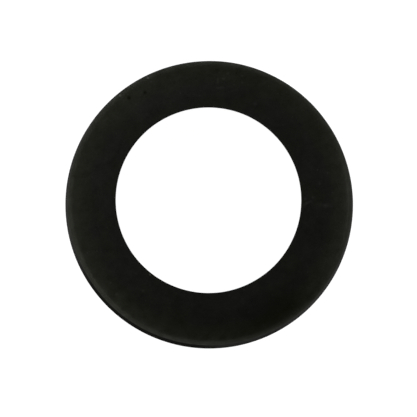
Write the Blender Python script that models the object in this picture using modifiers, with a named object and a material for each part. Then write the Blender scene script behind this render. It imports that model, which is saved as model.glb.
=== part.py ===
"""Tank to bowl gasket: one moulded ring of black sponge rubber, lying flat on its underside.

Frame: metres, +Z up. Z is the ring's own axis, X and Y lie in the plane of its underside, and the origin is
the centre of that underside.
"""

from math import cos, radians, sin, tan

import bmesh
import bpy

MM = 0.001

# Driving sizes of the moulded ring
OUTER_DIAMETER = 88.9 * MM
THICKNESS = 19.05 * MM

# Section of the ring, from the flat land outwards and down: crown, rim, drafted wall and foot
CROWN_WIDTH = 9.5 * MM
CROWN_SLOPE = radians(22.0)
RIM_RADIUS = 2.8 * MM
WALL_DRAFT = radians(2.9)
FOOT_RADIUS = 1.2 * MM

# Hole, a little off the ring's axis, and wider at the underside by its mould draft
HOLE_DIAMETER = 56.7 * MM
HOLE_DRAFT = radians(3.5)
HOLE_SHIFT_X = -0.44 * MM
HOLE_SHIFT_Y = 0.78 * MM

# The core that forms the hole runs past both faces by this much
CORE_MARGIN = 3.0 * MM

# Fineness of the round forms
TURN_STEPS = 120
CROWN_STEPS = 8
RIM_STEPS = 9
FOOT_STEPS = 6
SHARP_ANGLE = radians(30.0)
MERGE_DISTANCE = 0.01 * MM

# Black rubber with a matt skin
RUBBER_COLOUR = (0.0125, 0.0130, 0.0105, 1.0)
RUBBER_ROUGHNESS = 0.62

LEVEL, DOWN, BACK = radians(0.0), radians(90.0), radians(180.0)


def clear_scene():
    for obj in list(bpy.data.objects):
        bpy.data.objects.remove(obj, do_unlink=True)


def new_collection(name):
    collection = bpy.data.collections.new(name)
    bpy.context.scene.collection.children.link(collection)
    return collection


def add_object(name, mesh, collection):
    obj = bpy.data.objects.new(name, mesh)
    collection.objects.link(obj)
    return obj


def make_guide(obj):
    """Blanks and cores only shape the ring: they show as wire and aren't rendered."""
    obj.hide_render = True
    obj.display_type = "WIRE"


def add_arc(path, radius, start, end, steps):
    """Carries the path on along a convex arc. Its heading turns from start to end: LEVEL is outwards, DOWN is
    down the wall and BACK is inwards under the ring."""
    r0, z0 = path[-1]
    for step in range(1, steps + 1):
        heading = start + (end - start) * step / steps
        path.append((r0 + radius * (sin(heading) - sin(start)), z0 - radius * (cos(start) - cos(heading))))


def ring_section():
    """The blank's outer line as (radius, height), from the axis on top, down its outer side, to the axis below.

    Each arc starts in the direction in which the line before it ends, so the land, crown, rim, wall and foot
    flow into each other without a corner. The wall leans out as it goes down, and the ring is widest where
    the foot starts to turn under."""
    crown_radius = CROWN_WIDTH / sin(CROWN_SLOPE)
    crown_drop = crown_radius * (1.0 - cos(CROWN_SLOPE))
    rim_drop = RIM_RADIUS * (cos(CROWN_SLOPE) - sin(WALL_DRAFT))
    foot_rise = FOOT_RADIUS * (1.0 + sin(WALL_DRAFT))
    wall_drop = THICKNESS - crown_drop - rim_drop - foot_rise

    foot_spread = FOOT_RADIUS * (1.0 - cos(WALL_DRAFT))
    wall_spread = wall_drop * tan(WALL_DRAFT)
    rim_width = RIM_RADIUS * (cos(WALL_DRAFT) - sin(CROWN_SLOPE))
    wall_foot_radius = OUTER_DIAMETER / 2.0 - foot_spread
    land_radius = wall_foot_radius - wall_spread - rim_width - CROWN_WIDTH

    path = [(0.0, THICKNESS), (land_radius, THICKNESS)]
    add_arc(path, crown_radius, LEVEL, CROWN_SLOPE, CROWN_STEPS)
    add_arc(path, RIM_RADIUS, CROWN_SLOPE, DOWN - WALL_DRAFT, RIM_STEPS)
    path.append((wall_foot_radius, foot_rise))
    add_arc(path, FOOT_RADIUS, DOWN - WALL_DRAFT, BACK, FOOT_STEPS)
    path.append((0.0, 0.0))
    return path


def profile_mesh(name, path):
    """An open line of vertices in the XZ plane, at +X."""
    mesh = bpy.data.meshes.new(name)
    outline = bmesh.new()
    verts = [outline.verts.new((radius, 0.0, height)) for radius, height in path]
    for upper, lower in zip(verts, verts[1:]):
        outline.edges.new((upper, lower))
    outline.to_mesh(mesh)
    outline.free()
    return mesh


def add_blank(collection):
    """The ring before its hole is made: the section turned once round the Z axis."""
    blank = add_object("gasket_blank", profile_mesh("gasket_blank", ring_section()), collection)
    turn = blank.modifiers.new("turn", "SCREW")
    turn.axis = "Z"
    turn.angle = radians(360.0)
    turn.steps = TURN_STEPS
    turn.render_steps = TURN_STEPS
    turn.use_merge_vertices = True
    turn.merge_threshold = MERGE_DISTANCE
    make_guide(blank)
    return blank


def add_core(collection):
    """The mould core that forms the hole: a cone, HOLE_DIAMETER wide at the top face, that opens downwards."""
    spread = tan(HOLE_DRAFT)
    top_radius = HOLE_DIAMETER / 2.0 - CORE_MARGIN * spread
    bottom_radius = HOLE_DIAMETER / 2.0 + (THICKNESS + CORE_MARGIN) * spread
    mesh = bpy.data.meshes.new("hole_core")
    cone = bmesh.new()
    bmesh.ops.create_cone(
        cone,
        cap_ends=True,
        segments=TURN_STEPS,
        radius1=bottom_radius,
        radius2=top_radius,
        depth=THICKNESS + 2.0 * CORE_MARGIN,
    )
    cone.to_mesh(mesh)
    cone.free()
    core = add_object("hole_core", mesh, collection)
    core.location = (HOLE_SHIFT_X, HOLE_SHIFT_Y, THICKNESS / 2.0)
    make_guide(core)
    return core


def rubber_material():
    material = bpy.data.materials.new("black_sponge_rubber")
    material.use_nodes = True
    shader = material.node_tree.nodes["Principled BSDF"]
    shader.inputs["Base Color"].default_value = RUBBER_COLOUR
    shader.inputs["Roughness"].default_value = RUBBER_ROUGHNESS
    shader.inputs["Metallic"].default_value = 0.0
    material.diffuse_color = RUBBER_COLOUR
    return material


def add_ring(collection, blank, core):
    """The finished gasket: the turned blank with the core taken out of it."""
    hole = blank.modifiers.new("hole", "BOOLEAN")
    hole.operation = "DIFFERENCE"
    hole.solver = "EXACT"
    hole.object = core
    bpy.context.view_layer.update()
    evaluated = blank.evaluated_get(bpy.context.evaluated_depsgraph_get())
    mesh = bpy.data.meshes.new_from_object(evaluated)
    mesh.name = "gasket_ring"
    mesh.materials.clear()
    mesh.materials.append(rubber_material())
    mesh.shade_smooth()
    mesh.set_sharp_from_angle(angle=SHARP_ANGLE)
    return add_object("gasket_ring", mesh, collection)


def main():
    clear_scene()
    parts = new_collection("tank_to_bowl_gasket")
    guides = new_collection("cutters_and_guides")
    blank = add_blank(guides)
    core = add_core(guides)
    add_ring(parts, blank, core)


main()
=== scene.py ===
# %% [markdown]
# A tank to bowl gasket, dressed for its picture. The gasket is one thick ring of black sponge rubber. It sits
# between a toilet's tank and its bowl and is squeezed there until no water gets past. The picture looks
# almost straight down on it, on a white ground, so everything depends on a few quiet things: the round
# outlines, the soft rim, and a black skin that is never quite one black.
#
# The solid model of the ring is already made. This lesson loads it, models a finer skin over the same form,
# gives it a rubber material built from nodes, and lights and frames it.

# %% Load the solid ring
from math import cos, pi, radians, sin, tan

import bmesh
import bpy
from mathutils import Matrix, Vector, noise


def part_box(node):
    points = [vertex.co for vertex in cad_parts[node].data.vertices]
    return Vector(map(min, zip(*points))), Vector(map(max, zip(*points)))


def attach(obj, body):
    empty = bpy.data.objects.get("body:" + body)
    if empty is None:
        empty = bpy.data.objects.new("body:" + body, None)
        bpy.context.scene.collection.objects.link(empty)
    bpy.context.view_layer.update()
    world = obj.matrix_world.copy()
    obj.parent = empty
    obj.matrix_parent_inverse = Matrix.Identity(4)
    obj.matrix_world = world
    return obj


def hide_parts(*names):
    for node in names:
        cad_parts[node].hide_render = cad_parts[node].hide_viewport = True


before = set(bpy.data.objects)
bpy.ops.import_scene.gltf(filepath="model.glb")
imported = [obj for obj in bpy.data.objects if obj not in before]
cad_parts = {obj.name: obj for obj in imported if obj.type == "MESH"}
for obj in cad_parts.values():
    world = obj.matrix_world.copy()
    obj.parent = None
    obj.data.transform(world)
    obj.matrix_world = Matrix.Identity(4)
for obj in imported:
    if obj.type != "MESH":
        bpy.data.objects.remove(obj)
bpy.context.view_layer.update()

MM = 0.001

# %% [markdown]
# Every measure comes from the solid where that is possible, so that the fine skin can't drift away from it.
# The box gives the outer radius and the thickness. The hole is found from the solid's own points: those on
# the top face that lie nearest the middle are the hole's edge, and half their spread is its radius. The hole
# isn't quite in the middle of the ring, so its centre is measured too.

# %% Measure the solid
low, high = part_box("gasket_ring")
OUTER_RADIUS = (high.x - low.x) / 2
THICKNESS = high.z - low.z
SAME_LEVEL = 0.001 * MM
HOLE_REACH = 1.15


def round_edge(level):
    """Centre and radius of the hole where it meets the face at this height. All points of its edge lie within
    HOLE_REACH times the nearest one, and the face's other points lie farther out."""
    points = [v.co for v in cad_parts["gasket_ring"].data.vertices if abs(v.co.z - level) < SAME_LEVEL]
    nearest = min(p.xy.length for p in points)
    edge = [p for p in points if p.xy.length < nearest * HOLE_REACH]
    xs, ys = [p.x for p in edge], [p.y for p in edge]
    centre = Vector(((min(xs) + max(xs)) / 2, (min(ys) + max(ys)) / 2, 0.0))
    return centre, (max(xs) - min(xs)) / 2


hole_centre, HOLE_RADIUS = round_edge(high.z)
_, HOLE_FOOT_RADIUS = round_edge(low.z)
print("hole centre and radii, in mm:", [round(c / MM, 2) for c in hole_centre], round(HOLE_RADIUS / MM, 2),
      round(HOLE_FOOT_RADIUS / MM, 2))

# %% [markdown]
# Seen in section, the ring is a slightly tapered block: a flat land round the hole, a crown that falls away
# gently, a round rim, a wall that leans out as it goes down, and a small round foot. Each of these could be
# drawn as a line of points. It is easier to start from the section's five corners and to let the bevel
# operator round them, because then each radius stays one number. A bevel that turns a corner by some angle
# has to start at radius times the tangent of half that angle before it.

# %% The five corners of the section
CROWN_WIDTH = 9.5 * MM
CROWN_SLOPE = radians(22.0)
RIM_RADIUS = 2.8 * MM
WALL_DRAFT = radians(2.9)
FOOT_RADIUS = 1.2 * MM
HOLE_EDGE_RADIUS = 0.25 * MM

QUARTER = radians(90.0)


def setback(radius, turn):
    """How far before a corner its rounding starts."""
    return radius * tan(turn / 2)


foot_rise = FOOT_RADIUS * (1 + sin(WALL_DRAFT))
foot_corner = OUTER_RADIUS - FOOT_RADIUS * (1 - cos(WALL_DRAFT)) + foot_rise * tan(WALL_DRAFT)
crown_setback = setback(CROWN_WIDTH / sin(CROWN_SLOPE), CROWN_SLOPE)
rim_setback = setback(RIM_RADIUS, QUARTER - WALL_DRAFT - CROWN_SLOPE)
foot_setback = setback(FOOT_RADIUS, QUARTER + WALL_DRAFT)

# The crown's line and the wall's line meet at the rim's corner.
crown_line = crown_setback + rim_setback
rim_corner_height = THICKNESS - crown_line * sin(CROWN_SLOPE)
rim_corner = foot_corner - rim_corner_height * tan(WALL_DRAFT)
land_corner = rim_corner - crown_line * cos(CROWN_SLOPE)

corners = {
    "hole_top": (HOLE_RADIUS, THICKNESS),
    "land": (land_corner, THICKNESS),
    "rim": (rim_corner, rim_corner_height),
    "foot": (foot_corner, 0.0),
    "hole_foot": (HOLE_FOOT_RADIUS, 0.0),
}
for name, (radius, height) in corners.items():
    print(f"{name}: radius {radius / MM:.2f}, height {height / MM:.2f} mm")

# %% [markdown]
# The section is turned once round the ring's axis with the spin operator. Its last copy lands on its first,
# and use_merge joins the two. The hole's two edges are then moved sideways together, which puts the hole off
# centre as it is on the real ring and leaves both faces flat.
#
# Merging and bevelling may list the faces in another order on each run. In a later step that alters sums in
# their last digit. So a small function rebuilds the mesh with its faces in a fixed order, here and once more
# at the end, and every run makes the very same mesh.

# %% Turn the section
TURN_STEPS = 480
TOUCHING = 0.001 * MM


def in_fixed_order(mesh):
    """The same mesh, rebuilt. Each face starts at its lowest numbered point, and the faces are sorted."""
    mesh.verts.index_update()
    rows = []
    for face in mesh.faces:
        row = [v.index for v in face.verts]
        start = row.index(min(row))
        rows.append(row[start:] + row[:start])
    ordered = bmesh.new()
    verts = [ordered.verts.new(v.co) for v in mesh.verts]
    for row in sorted(rows):
        ordered.faces.new([verts[index] for index in row])
    mesh.free()
    ordered.normal_update()
    return ordered


def turned_section():
    ring = bmesh.new()
    verts = [ring.verts.new((radius, 0.0, height)) for radius, height in corners.values()]
    edges = [ring.edges.new((a, b)) for a, b in zip(verts, verts[1:] + verts[:1])]
    bmesh.ops.spin(ring, geom=verts + edges, cent=(0, 0, 0), axis=(0, 0, 1), dvec=(0, 0, 0),
                   angle=radians(360.0), steps=TURN_STEPS, use_merge=True, use_duplicate=False)
    bmesh.ops.remove_doubles(ring, verts=ring.verts[:], dist=TOUCHING)
    bmesh.ops.recalc_face_normals(ring, faces=ring.faces[:])
    return in_fixed_order(ring)


def corner_verts(ring, *names):
    wanted = [corners[name] for name in names]
    return [v for v in ring.verts
            if any(abs(v.co.xy.length - r) < TOUCHING and abs(v.co.z - z) < TOUCHING for r, z in wanted)]


def corner_loop(ring, name):
    """The edges that run round the ring through one corner of the section."""
    inside = set(corner_verts(ring, name))
    return [e for e in ring.edges if e.verts[0] in inside and e.verts[1] in inside]


ring = turned_section()
loops = {name: corner_loop(ring, name) for name in corners}
bmesh.ops.translate(ring, verts=corner_verts(ring, "hole_top", "hole_foot"), vec=hole_centre)
print("turned ring:", len(ring.faces), "faces;", {name: len(loop) for name, loop in loops.items()})

# %% [markdown]
# Now the corners are rounded. A profile of 0.5 makes each bevel a true arc. The crown is a bevel like the
# others, only very wide and shallow. It ends where the rim's rounding begins, so the two leave a strip
# between them that is too thin to keep, and merging doubles closes it.

# %% Round the corners
HAIR = 0.01 * MM
roundings = [
    ("land", crown_setback, 22),
    ("rim", rim_setback - HAIR, 14),
    ("foot", foot_setback, 8),
    ("hole_top", setback(HOLE_EDGE_RADIUS, QUARTER), 4),
    ("hole_foot", setback(HOLE_EDGE_RADIUS, QUARTER), 3),
]
for name, offset, segments in roundings:
    bmesh.ops.bevel(ring, geom=loops[name], affect="EDGES", offset=offset, offset_type="OFFSET",
                    segments=segments, profile=0.5, material=-1, clamp_overlap=False)
bmesh.ops.remove_doubles(ring, verts=ring.verts[:], dist=2 * HAIR)
print("rounded ring:", len(ring.faces), "faces")

# %% [markdown]
# The four plain stretches of the section, the land, the wall, the underside and the hole's wall, are still
# one long face each. They get cuts across, so that the skin has points to move there.

# %% Cut the long faces
FINE = 0.45 * MM
LONG = 2.0 * MM


def stretch(edge):
    """Which plain stretch of the section an edge runs across, told by the height of its middle."""
    middle = (edge.verts[0].co.z + edge.verts[1].co.z) / 2
    if middle > THICKNESS - TOUCHING:
        return "land"
    return "underside" if middle < TOUCHING else "walls"


def cut_long_faces(ring, name):
    across = [e for e in ring.edges if e.calc_length() > LONG and stretch(e) == name]
    cuts = round(sum(e.calc_length() for e in across) / len(across) / FINE)
    bmesh.ops.subdivide_edges(ring, edges=across, cuts=cuts, use_grid_fill=True)
    return cuts


for name in ("land", "walls", "underside"):
    print(f"{name}: {cut_long_faces(ring, name)} cuts across, {len(ring.faces)} faces now")

# %% [markdown]
# Moulded sponge rubber is never machine flat. It sinks a little where its cells collapsed, and its edges
# wander by a few hundredths of a millimetre. Two sizes of smooth noise push the skin in along its normal.
# They only push inwards, so the ring stays inside its solid, and they fade out on the underside, which
# still has to lie flat.

# %% Give the skin its unevenness
BROAD_SIZE, BROAD_DEPTH = 11.0 * MM, 0.055 * MM
SMALL_SIZE, SMALL_DEPTH = 2.6 * MM, 0.016 * MM
FLAT_BELOW, FULL_ABOVE = 0.3 * MM, 2.5 * MM


def sink(place):
    """How deep the skin lies under its ideal form at this place."""
    broad = 0.5 + 0.5 * noise.noise(place / BROAD_SIZE)
    small = 0.5 + 0.5 * noise.noise(place / SMALL_SIZE)
    above = min(max((place.z - FLAT_BELOW) / (FULL_ABOVE - FLAT_BELOW), 0.0), 1.0)
    return above * (broad * BROAD_DEPTH + small * SMALL_DEPTH)


ring.normal_update()
deepest = 0.0
for vert in ring.verts:
    depth = sink(vert.co)
    deepest = max(deepest, depth)
    vert.co -= vert.normal * depth
print("deepest hollow of the skin, in mm:", round(deepest / MM, 3))

# %% [markdown]
# The skin's mesh now becomes an object of its own. It rides on the solid's only body and takes the solid's
# place in the picture. Smooth shading lets the small flat faces look like one skin.

# %% Make the ring an object
ring = in_fixed_order(ring)
ring_mesh = bpy.data.meshes.new("rubber_ring")
ring.to_mesh(ring_mesh)
ring.free()
ring_mesh.shade_smooth()
rubber_ring = bpy.data.objects.new("rubber_ring", ring_mesh)
bpy.context.scene.collection.objects.link(rubber_ring)
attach(rubber_ring, "root")
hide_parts("gasket_ring")
print("rubber ring:", len(ring_mesh.vertices), "points,", len(ring_mesh.polygons), "faces")

# %% [markdown]
# A material in Blender is a net of nodes. Nets are hard to read as code when every link is its own line, so
# two small classes hide the wiring. A Signal is a value on its way through the net, and adding or
# multiplying it in Python adds the Math node. A Recipe is the net of one material or of the sky. Its method
# called node adds any other node: its settings first, then what goes into its sockets.

# %% Two helpers for nets of nodes
class Signal:
    """A value on its way through a net of nodes."""

    def __init__(self, recipe, socket):
        self.recipe, self.socket = recipe, socket

    def math(self, operation, first, second=0.0, clamp=False):
        return self.recipe.node("ShaderNodeMath", {"operation": operation, "use_clamp": clamp},
                                {0: first, 1: second})

    def __add__(self, other):
        return self.math("ADD", self, other)

    def __sub__(self, other):
        return self.math("SUBTRACT", self, other)

    def __rsub__(self, other):
        return self.math("SUBTRACT", other, self)

    def __mul__(self, other):
        return self.math("MULTIPLY", self, other)

    def __truediv__(self, other):
        return self.math("DIVIDE", self, other)

    def __rtruediv__(self, other):
        return self.math("DIVIDE", other, self)

    def __pow__(self, other):
        return self.math("POWER", self, other)

    __radd__ = __add__
    __rmul__ = __mul__

    def clamped(self):
        """The value kept between 0 and 1."""
        return self.math("ADD", self, 0.0, clamp=True)


class Recipe:
    """The net of nodes of a material or of the sky."""

    def __init__(self, owner):
        self.owner = owner
        owner.use_nodes = True
        self.tree = owner.node_tree
        self.tree.nodes.clear()

    def node(self, kind, settings=None, sockets=None, output=0):
        made = self.tree.nodes.new(kind)
        for name, value in (settings or {}).items():
            setattr(made, name, value)
        for name, value in (sockets or {}).items():
            if isinstance(value, Signal):
                self.tree.links.new(value.socket, made.inputs[name])
            else:
                made.inputs[name].default_value = value
        return Signal(self, made.outputs[output])

    def finish(self, shader, output="ShaderNodeOutputMaterial"):
        end = self.tree.nodes.new(output)
        self.tree.links.new(shader.socket, end.inputs["Surface"])
        return self.owner


print("helpers: Signal and Recipe")

# %% [markdown]
# Black rubber swallows nearly all the light that enters it. What is seen is the sheen of its skin, and that
# sheen is weak, wide and a little warm and green. So the colour is almost black, and the mottling is made in
# the sheen, and so are the painted highlights and painted shade. A Principled shader's specular level has to
# be one number for the whole surface.
# That is why there are two shaders: the skin with its sheen, and chalk, which is the same rubber with none.
# A Mix Shader blends them, and its factor may change from place to place.
#
# First come the measures that the patterns are drawn with. All of them read Object coordinates, so they stay
# fixed to the rubber when the camera moves. No rule says where a real ring is marked, so the marks are placed
# where the photograph shows them: each patch is a strength, a place and a size.

# %% Measures for the rubber's patterns
# The outputs that are read: Object of Texture Coordinate, Z of Separate XYZ, the number of Vector Math.
OBJECT_OUTPUT, Z_OUTPUT, NUMBER_OUTPUT = 3, 2, 1
rubber = Recipe(bpy.data.materials.new("black_sponge_rubber"))
place = rubber.node("ShaderNodeTexCoord", output=OBJECT_OUTPUT)
height = rubber.node("ShaderNodeSeparateXYZ", {}, {0: place}, output=Z_OUTPUT)
plan = rubber.node("ShaderNodeVectorMath", {"operation": "MULTIPLY"}, {0: place, 1: (1.0, 1.0, 0.0)})


def ramp(value, start, end):
    """0 before the start, 1 past the end, and even in between. The end may lie below the start."""
    return ((value - start) / (end - start)).clamped()


def distance_from(x, y):
    """How far a point lies from an upright line through x, y."""
    return rubber.node("ShaderNodeVectorMath", {"operation": "DISTANCE"}, {0: plan, 1: (x, y, 0.0)},
                       output=NUMBER_OUTPUT)


def patches(marks):
    """Soft round marks, each given as its strength and, in mm, its x, y and size. They add up."""
    return sum(strength * ramp(distance_from(x * MM, y * MM), size * MM, 0.0)
               for strength, x, y, size in marks)


def smear(strength, start, end, size):
    """A soft mark along the line from start to end. It fades out at size from the line. All are in mm."""
    origin = Vector((*start, 0.0)) * MM
    run = Vector((*end, 0.0)) * MM - origin
    offset = rubber.node("ShaderNodeVectorMath", {"operation": "SUBTRACT"}, {0: plan, 1: origin})
    along = rubber.node("ShaderNodeVectorMath", {"operation": "DOT_PRODUCT"}, {0: offset, 1: run},
                        output=NUMBER_OUTPUT)
    nearest = rubber.node("ShaderNodeVectorMath", {"operation": "SCALE"},
                          {0: run, "Scale": ramp(along, 0.0, run.length_squared)})
    away = rubber.node("ShaderNodeVectorMath", {"operation": "DISTANCE"}, {0: offset, 1: nearest},
                       output=NUMBER_OUTPUT)
    return strength * ramp(away, size * MM, 0.0)


def clouds(size, detail=2.0, roughness=0.5):
    """Smooth noise from 0 to 1, with lumps of this size."""
    return rubber.node("ShaderNodeTexNoise", {"noise_dimensions": "3D"},
                       {"Vector": place, "Scale": 1.0 / size, "Detail": detail, "Roughness": roughness})


print("measures for the patterns:", len(rubber.tree.nodes), "nodes")

# %% [markdown]
# The real ring has its full sheen only where the mould was polished: on the land, the crown and the rim. The
# wall and the hole's wall look duller. At the front the wall keeps hardly any sheen: that is painted shade,
# where the wall would mirror the shaded ground beside the ring. The polished faces could be given a
# material of their own, but then the sheen would end in a hard line. Two ramps say where the polished skin
# is. One starts on the rim just above the wall, and a little higher where the shade is painted. The other
# starts on the rounding of the hole's edge, just past the skin's own hollows. The hole widens as it goes
# down, so that ramp is measured from the hole's slanting wall.

# %% Where the skin has its sheen
WALL_SHEEN, SHADED_WALL_SHEEN, HOLE_SHEEN = 0.42, 0.03, 0.3
WALL_TOP, SKIN_EDGE = 14.9 * MM, 15.5 * MM
SHADE_RISE = 0.15 * MM
FOOT_FADE = 2.0 * MM
# Painted shade: at the front the wall loses nearly all its sheen, where it would mirror shaded ground.
WALL_SHADE_PATCHES = [(2.2, -22.2, -38.5, 36.0), (0.6, 18.1, -40.6, 14.0)]

painted_front_wall_shade = patches(WALL_SHADE_PATCHES).clamped() * ramp(height, 0.0, FOOT_FADE)
wall_sheen = WALL_SHEEN - (WALL_SHEEN - SHADED_WALL_SHEEN) * painted_front_wall_shade
above_wall = ramp(height - SHADE_RISE * painted_front_wall_shade, WALL_TOP, SKIN_EDGE)
outer_sheen = wall_sheen + (1.0 - wall_sheen) * above_wall

HOLE_SPREAD = (HOLE_FOOT_RADIUS - HOLE_RADIUS) / THICKNESS
HOLLOW_MARGIN = 0.08 * MM
from_hole_axis = distance_from(hole_centre.x, hole_centre.y)
from_hole_wall = from_hole_axis - HOLE_RADIUS - HOLE_SPREAD * (THICKNESS - height)
outside_hole = ramp(from_hole_wall, HOLLOW_MARGIN, HOLE_EDGE_RADIUS)
polish_and_painted_shade = HOLE_SHEEN + (outer_sheen - HOLE_SHEEN) * outside_hole
print(f"the hole's wall leans out by {HOLE_SPREAD:.3f} mm in each mm down")

# %% [markdown]
# Sponge rubber never shines evenly, because its skin is a film over cells of many sizes. A picture of such a
# skin could be wrapped round the ring, but noise needs no picture and looks right from every side. Two noises
# are added up: a mottling of several sizes, and a fine grain.

# %% Mottling of the sheen
MEAN_SHEEN = 0.5
MOTTLE_SIZE, MOTTLE_DEPTH = 3.4 * MM, 0.85
GRAIN_SIZE, GRAIN_DEPTH = 0.5 * MM, 0.38

mottle = clouds(MOTTLE_SIZE, detail=4.0, roughness=0.75)
grain = clouds(GRAIN_SIZE, detail=2.0, roughness=0.6)
sheen = MEAN_SHEEN + MOTTLE_DEPTH * (mottle - 0.5) + GRAIN_DEPTH * (grain - 0.5)
print("with the mottling:", len(rubber.tree.nodes), "nodes")

# %% [markdown]
# These patches are painted highlights and painted shade in the sheen. The crown is given more sheen towards
# the rim, most of all at the right, and the land a little more on the left. A stretch of the crown at the
# front right is given less, and so is a fainter one at the back left. Each of these raises or lowers the
# sheen as a share of what is there, so they all meet in one factor. Soft round patches are enough for them,
# and each can be moved or resized by changing its own numbers.

# %% Painted highlights and shade in the sheen
LAND_START, LAND_FULL = 18.8 * MM, 19.0 * MM
CROWN_START, CROWN_FULL = 17.0 * MM, 17.8 * MM
RIM_START, RIM_FULL = 18.75 * MM, 17.85 * MM
RIM_TOP_START, RIM_TOP_FULL = 16.2 * MM, 17.2 * MM
near_rim = ramp(height, RIM_START, RIM_FULL)

# Painted shade: in these patches the crown loses part of its sheen.
CROWN_SHADE_DEPTH = 0.54
CROWN_SHADE_PATCHES = [(1.0, 23.5, -32.5, 8.5), (1.0, 15.5, -36.5, 9.5), (0.3, 2.0, -36.0, 12.0),
                (0.36, -31.5, 18.5, 13.0)]
painted_crown_shade = CROWN_SHADE_DEPTH * patches(CROWN_SHADE_PATCHES).clamped() * ramp(height, CROWN_START, CROWN_FULL)

# Painted highlight: the crown gains sheen towards the rim, most of all at the right.
RIM_HIGHLIGHT_GAIN = 0.12
RIM_HIGHLIGHT_PATCHES = [(0.95, 36.0, -18.0, 16.0), (0.42, 41.0, 2.0, 14.0), (0.3, 2.0, -41.5, 12.0),
               (0.25, -24.5, -33.0, 20.0), (0.2, -41.0, -6.0, 24.0)]
# Painted highlight: the land gains sheen towards the left.
LAND_HIGHLIGHT_PATCHES = [(0.28, -26.0, 12.0, 45.0)]
painted_rim_highlight = near_rim * (RIM_HIGHLIGHT_GAIN + ramp(height, RIM_TOP_START, RIM_TOP_FULL) * patches(RIM_HIGHLIGHT_PATCHES))
painted_land_highlight = ramp(height, LAND_START, LAND_FULL) * patches(LAND_HIGHLIGHT_PATCHES)
# All the painted highlights and painted shade meet in this one factor.
painted_light = 1.0 + painted_rim_highlight + painted_land_highlight - painted_crown_shade
print("with the wear:", len(rubber.tree.nodes), "nodes")

# %% [markdown]
# A few cells of the sponge lie open near the rim at the back. They have lost their skin, and most of the
# sheen with it. They could be dug into the mesh, but at this size the missing sheen is all that shows. A
# patch reaches straight down through the ring, so the pores are kept to its upper half.

# %% Open pores
UPPER_START, UPPER_FULL = 10.0 * MM, 11.0 * MM
PORES = [(1.0, -24.8, 32.2, 0.9), (1.0, -19.9, 33.8, 0.8), (0.4, 2.4, 40.7, 1.0),
         (0.4, -0.3, 39.1, 0.8), (0.4, -4.2, 38.2, 0.7)]
upper_side = ramp(height, UPPER_START, UPPER_FULL)
pores = patches(PORES).clamped() * upper_side
sheen_share = (polish_and_painted_shade * sheen * (painted_light * (1.0 - pores))).clamped()
print("open pores:", len(PORES))

# %% [markdown]
# Pale specks are dust and torn cells: grey points on the black. A Voronoi texture drops one point into every
# cell of a grid. Most of its points are made too faint to see, because each cell's random value is raised to
# a high power. The few marks that catch the eye in the photograph are put where they are there.

# %% Pale specks on the black
SPECK_SPACING = 1.5 * MM
SPECK_SIZE_IN_SPACINGS = 0.2
SPECK_RARITY = 4.0
DUST_PALENESS = 0.17
DISTANCE_OUTPUT, COLOUR_OUTPUT = 0, 1
speck_sockets = {"Vector": place, "Scale": 1.0 / SPECK_SPACING}
speck_distance = rubber.node("ShaderNodeTexVoronoi", {}, speck_sockets, output=DISTANCE_OUTPUT)
speck_colour = rubber.node("ShaderNodeTexVoronoi", {}, speck_sockets, output=COLOUR_OUTPUT)
speck_chance = rubber.node("ShaderNodeSeparateXYZ", {}, {0: speck_colour})
dust = ramp(speck_distance, SPECK_SIZE_IN_SPACINGS, 0.0) * speck_chance ** SPECK_RARITY

BRIGHT, FAINT, SMEARED = 0.45, 0.08, 0.065
PALE_MARKS = [
    (BRIGHT, -27.6, 33.0, 0.45), (BRIGHT, -19.0, 38.4, 0.45), (BRIGHT, -18.3, -22.0, 0.45),
    (FAINT, -30.5, -24.5, 0.6), (FAINT, -28.6, -28.0, 0.8), (FAINT, -20.4, -27.0, 0.7),
    (FAINT, 13.8, 30.3, 0.9), (FAINT, 9.9, 39.0, 0.5), (FAINT, 9.9, 36.8, 0.5),
    (FAINT, 4.2, 38.0, 0.6), (FAINT, 5.5, 39.7, 0.6), (FAINT, 29.2, 1.1, 0.6),
    (FAINT, 31.5, 1.6, 0.7), (FAINT, 35.35, -0.85, 0.9), (FAINT, 33.6, 5.9, 0.6),
]
SMEARS = [
    (SMEARED, (29.0, -0.6), (29.6, -0.1), 0.6),
    (SMEARED, (29.6, -0.1), (30.9, 0.5), 0.6),
    (SMEARED, (2.4, 38.0), (2.4, 36.8), 0.5),
    (SMEARED, (2.3, 35.2), (4.1, 35.3), 0.5),
    (SMEARED / 2, (33.0, -0.5), (37.0, -0.9), 0.9),
]
marks = patches(PALE_MARKS) + sum(smear(*mark) for mark in SMEARS)
paleness = (marks * upper_side + DUST_PALENESS * dust).clamped()
print("pale marks:", len(PALE_MARKS), "round,", len(SMEARS), "smeared")

# %% [markdown]
# Even the black has a colour. It drifts slowly between a neutral and an olive tone. Towards the rim it is
# made a little more olive, a painted tint that gives the rim's highlight its colour. The dust and the marks
# are mixed in last, because they lie on top.

# %% Colours of the rubber
NEUTRAL_BLACK = (0.0033, 0.0033, 0.0032, 1.0)
OLIVE_BLACK = (0.0028, 0.0031, 0.0020, 1.0)
# Painted tint: the rim's colour leans to olive so that its highlight takes that colour.
RIM_HIGHLIGHT_OLIVE = (0.0028, 0.0032, 0.0011, 1.0)
DUST_GREY = (0.07, 0.07, 0.065, 1.0)
DRIFT_SIZE, DRIFT_CONTRAST = 7.0 * MM, 3.0
RIM_TINT = 0.85


def mixed_colour(factor, first, second):
    """The first colour where the factor is 0, and the second where it is 1."""
    return rubber.node("ShaderNodeMix", {"data_type": "RGBA"}, {0: factor, 6: first, 7: second}, output=2)


drift = (DRIFT_CONTRAST * (clouds(DRIFT_SIZE) - 0.5) + 0.5).clamped()
black = mixed_colour(drift, NEUTRAL_BLACK, OLIVE_BLACK)
black_with_rim = mixed_colour(RIM_TINT * near_rim * above_wall, black, RIM_HIGHLIGHT_OLIVE)
colour = mixed_colour(paleness, black_with_rim, DUST_GREY)
print("with the colours:", len(rubber.tree.nodes), "nodes")

# %% [markdown]
# Last come the two shaders. The finest unevenness, pores of a few tenths of a millimetre and ripples of about
# one, is a bump: it only tilts the light and needs no points in the mesh. The skin's roughness wavers a
# little with the mottling.

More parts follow.
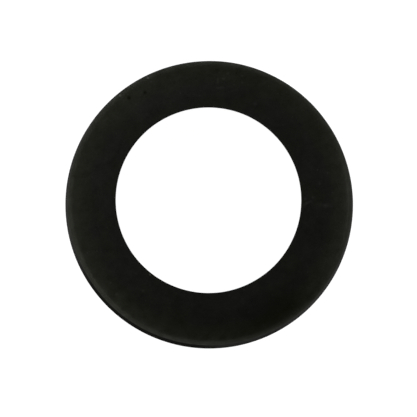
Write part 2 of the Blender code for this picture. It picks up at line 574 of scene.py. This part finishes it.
# %% Rubber material
PORE_SIZE, RIPPLE_SIZE = 0.28 * MM, 1.1 * MM
PORE_SHARE = 0.7
SKIN_ROUGHNESS, ROUGHNESS_SWING = 0.55, 0.12
SHEEN_TINT = (0.965, 1.0, 0.84, 1.0)
fine_pores = clouds(PORE_SIZE, detail=3.0, roughness=0.7)
unevenness = PORE_SHARE * fine_pores + (1.0 - PORE_SHARE) * clouds(RIPPLE_SIZE)
bump = rubber.node("ShaderNodeBump", {}, {"Strength": 0.35, "Distance": 0.05 * MM, "Height": unevenness})
skin = rubber.node("ShaderNodeBsdfPrincipled", {}, {
    "Base Color": colour, "Roughness": SKIN_ROUGHNESS + ROUGHNESS_SWING * mottle, "Normal": bump,
    "IOR": 1.45, "Specular IOR Level": 0.187, "Specular Tint": SHEEN_TINT})
chalk = rubber.node("ShaderNodeBsdfPrincipled", {}, {
    "Base Color": colour, "Roughness": 1.0, "Normal": bump,
    "IOR": 1.45, "Specular IOR Level": 0.0})
surface = rubber.node("ShaderNodeMixShader", {}, {0: sheen_share, 1: chalk, 2: skin})
ring_mesh.materials.append(rubber.finish(surface))
print("rubber material:", len(rubber.tree.nodes), "nodes")

# %% [markdown]
# The photograph's ground is pure white, also inside the hole and right beside the ring, where paper would
# show a shadow. Such pictures are taken on a light table, a white sheet that is lit from below. So the floor
# is one big sheet that glows, with a little paint on top to catch the lamps. It lies a hair below the ring,
# because two faces at one height would fight for the same pixels. Its back is clear, so a camera under the
# table can look at the ring's underside.

# %% Floor
FLOOR_SIZE = 30.0
FLOOR_PAINT = (0.1, 0.1, 0.1, 1.0)
FLOOR_GLOW = 1.0
FLOOR_GAP = 0.05 * MM
BACKFACING_OUTPUT = 6
WHITE = (1.0, 1.0, 1.0, 1.0)
floor_mesh = bpy.data.meshes.new("floor")
sheet = bmesh.new()
bmesh.ops.create_grid(sheet, x_segments=1, y_segments=1, size=FLOOR_SIZE / 2,
                      matrix=Matrix.Translation((0.0, 0.0, -FLOOR_GAP)))
sheet.to_mesh(floor_mesh)
sheet.free()
floor = bpy.data.objects.new("floor", floor_mesh)
bpy.context.scene.collection.objects.link(floor)
table = Recipe(bpy.data.materials.new("light_table"))
paper = table.node("ShaderNodeBsdfPrincipled", {}, {
    "Base Color": FLOOR_PAINT, "Roughness": 0.9, "Specular IOR Level": 0.0,
    "Emission Color": WHITE, "Emission Strength": FLOOR_GLOW})
seen_from_below = table.node("ShaderNodeNewGeometry", output=BACKFACING_OUTPUT)
clear = table.node("ShaderNodeBsdfTransparent")
sides = table.node("ShaderNodeMixShader", {}, {0: seen_from_below, 1: paper, 2: clear})
floor_mesh.materials.append(table.finish(sides))
print(f"floor: {FLOOR_SIZE} m across, {FLOOR_GAP / MM} mm below the ring")

# %% [markdown]
# The photograph was taken from almost straight above, but not quite. The wall shows as a dark line along the
# lower left of the ring and nowhere else, so the camera leaned a little that way. The lens is as long as it
# takes to make the ring's outer edge as large as in the photograph. The camera's three axes are worked out
# from the direction it looks along, with the picture's upright edge along Y.

# %% Camera
FRAME_PX = 417.0
OUTLINE_CENTRE_PX = (209.22, 204.71)
OUTLINE_RADIUS_PX = 143.93
CAMERA_DISTANCE = 2.1
VIEW_TILT = radians(2.05)
TILT_HEADING = radians(250.0)

metres_per_px = OUTER_RADIUS / OUTLINE_RADIUS_PX
back = Vector((cos(TILT_HEADING) * sin(VIEW_TILT), sin(TILT_HEADING) * sin(VIEW_TILT), cos(VIEW_TILT)))
right = Vector((0.0, 1.0, 0.0)).cross(back).normalized()
up = back.cross(right)
aim = Vector(((FRAME_PX / 2 - OUTLINE_CENTRE_PX[0]) * metres_per_px,
              (OUTLINE_CENTRE_PX[1] - FRAME_PX / 2) * metres_per_px, FOOT_RADIUS))
camera_data = bpy.data.cameras.new("camera")
camera_data.sensor_width = 36.0
camera_data.lens = camera_data.sensor_width * CAMERA_DISTANCE / (FRAME_PX * metres_per_px)
camera_data.clip_start, camera_data.clip_end = 0.05, 50.0
camera = bpy.data.objects.new("camera", camera_data)
camera.location = aim + back * CAMERA_DISTANCE
camera.rotation_mode = "QUATERNION"
camera.rotation_quaternion = Matrix((right, up, back)).transposed().to_quaternion()
bpy.context.scene.collection.objects.link(camera)
bpy.context.scene.camera = camera
print("lens, in mm:", round(camera_data.lens))

# %% [markdown]
# The rim is the brightest part of the ring nearly all the way round, and the flat land is darker. A skin
# that faces up mirrors what is overhead, and a skin on its side mirrors the horizon. So the studio is dark
# above and bright all round, like a tent with a black lid. The sky is a net of nodes that is brightest at the
# horizon, falls away upwards, and glows more on the left, where the photograph's rim is brightest.

# %% Sky
SKY_GLOW = 4.4
SKY_FALL = 4.0
SKY_SIDE = radians(150.0)
EVEN_SHARE = 1.1
sky = Recipe(bpy.data.worlds.new("studio"))
direction = sky.node("ShaderNodeTexCoord")
steepness = sky.node("ShaderNodeSeparateXYZ", {}, {0: direction}, output=Z_OUTPUT).clamped()
side = sky.node("ShaderNodeVectorMath", {"operation": "DOT_PRODUCT"},
                {0: direction, 1: (cos(SKY_SIDE), sin(SKY_SIDE), 0.0)}, output=NUMBER_OUTPUT)
glow = SKY_GLOW * (1.0 - steepness) ** SKY_FALL * (EVEN_SHARE + side)
background = sky.node("ShaderNodeBackground", {}, {"Color": WHITE, "Strength": glow})
bpy.context.scene.world = sky.finish(background, "ShaderNodeOutputWorld")
print("sky:", len(sky.tree.nodes), "nodes")

# %% [markdown]
# Five round softboxes do the rest. Each is given by its heading, its height above the horizon, its distance
# and how much light it sends to the ring. The power for that follows from the distance: a flat lamp of power
# P gives P / (pi d^2) straight in front of it. Four of them stand close to the ring, so each lights the side
# next to it more than the far side.

# %% Softboxes
RING_MIDDLE = Vector((0.0, 0.0, THICKNESS))
NEAR, FAR = 0.3, 1.5
LAMP_SPREAD = radians(14.0)


def softbox(name, heading, elevation, distance, light):
    """A round lamp that points at the middle of the ring and that the camera doesn't see."""
    lamp = bpy.data.lights.new(name, "AREA")
    lamp.shape = "DISK"
    lamp.size = 2.0 * distance * tan(LAMP_SPREAD / 2)
    lamp.energy = light * pi * distance ** 2
    obj = bpy.data.objects.new(name, lamp)
    towards = Vector((cos(heading) * cos(elevation), sin(heading) * cos(elevation), sin(elevation)))
    obj.location = RING_MIDDLE + towards * distance
    obj.rotation_mode = "QUATERNION"
    obj.rotation_quaternion = (-towards).to_track_quat("-Z", "Y")
    obj.visible_camera = False
    bpy.context.scene.collection.objects.link(obj)
    print(f"{name}: {lamp.energy:.2f} W")


softbox("right", radians(6.0), radians(19.0), NEAR, 1.75)
softbox("back_right", radians(45.0), radians(40.0), NEAR, 0.4)
softbox("high_back_left", radians(135.0), radians(55.0), NEAR, 1.15)
softbox("left", radians(210.0), radians(15.0), NEAR, 1.25)
softbox("low_front", radians(262.0), radians(5.0), FAR, 1.3)

# %% [markdown]
# Blender's usual view transform bends the bright tones, as film does, and would turn the white floor grey.
# The Standard one shows white as white and leaves the dark tones as they were lit.

# %% View transform
view = bpy.context.scene.view_settings
view.view_transform = "Standard"
print("view transform:", view.view_transform)
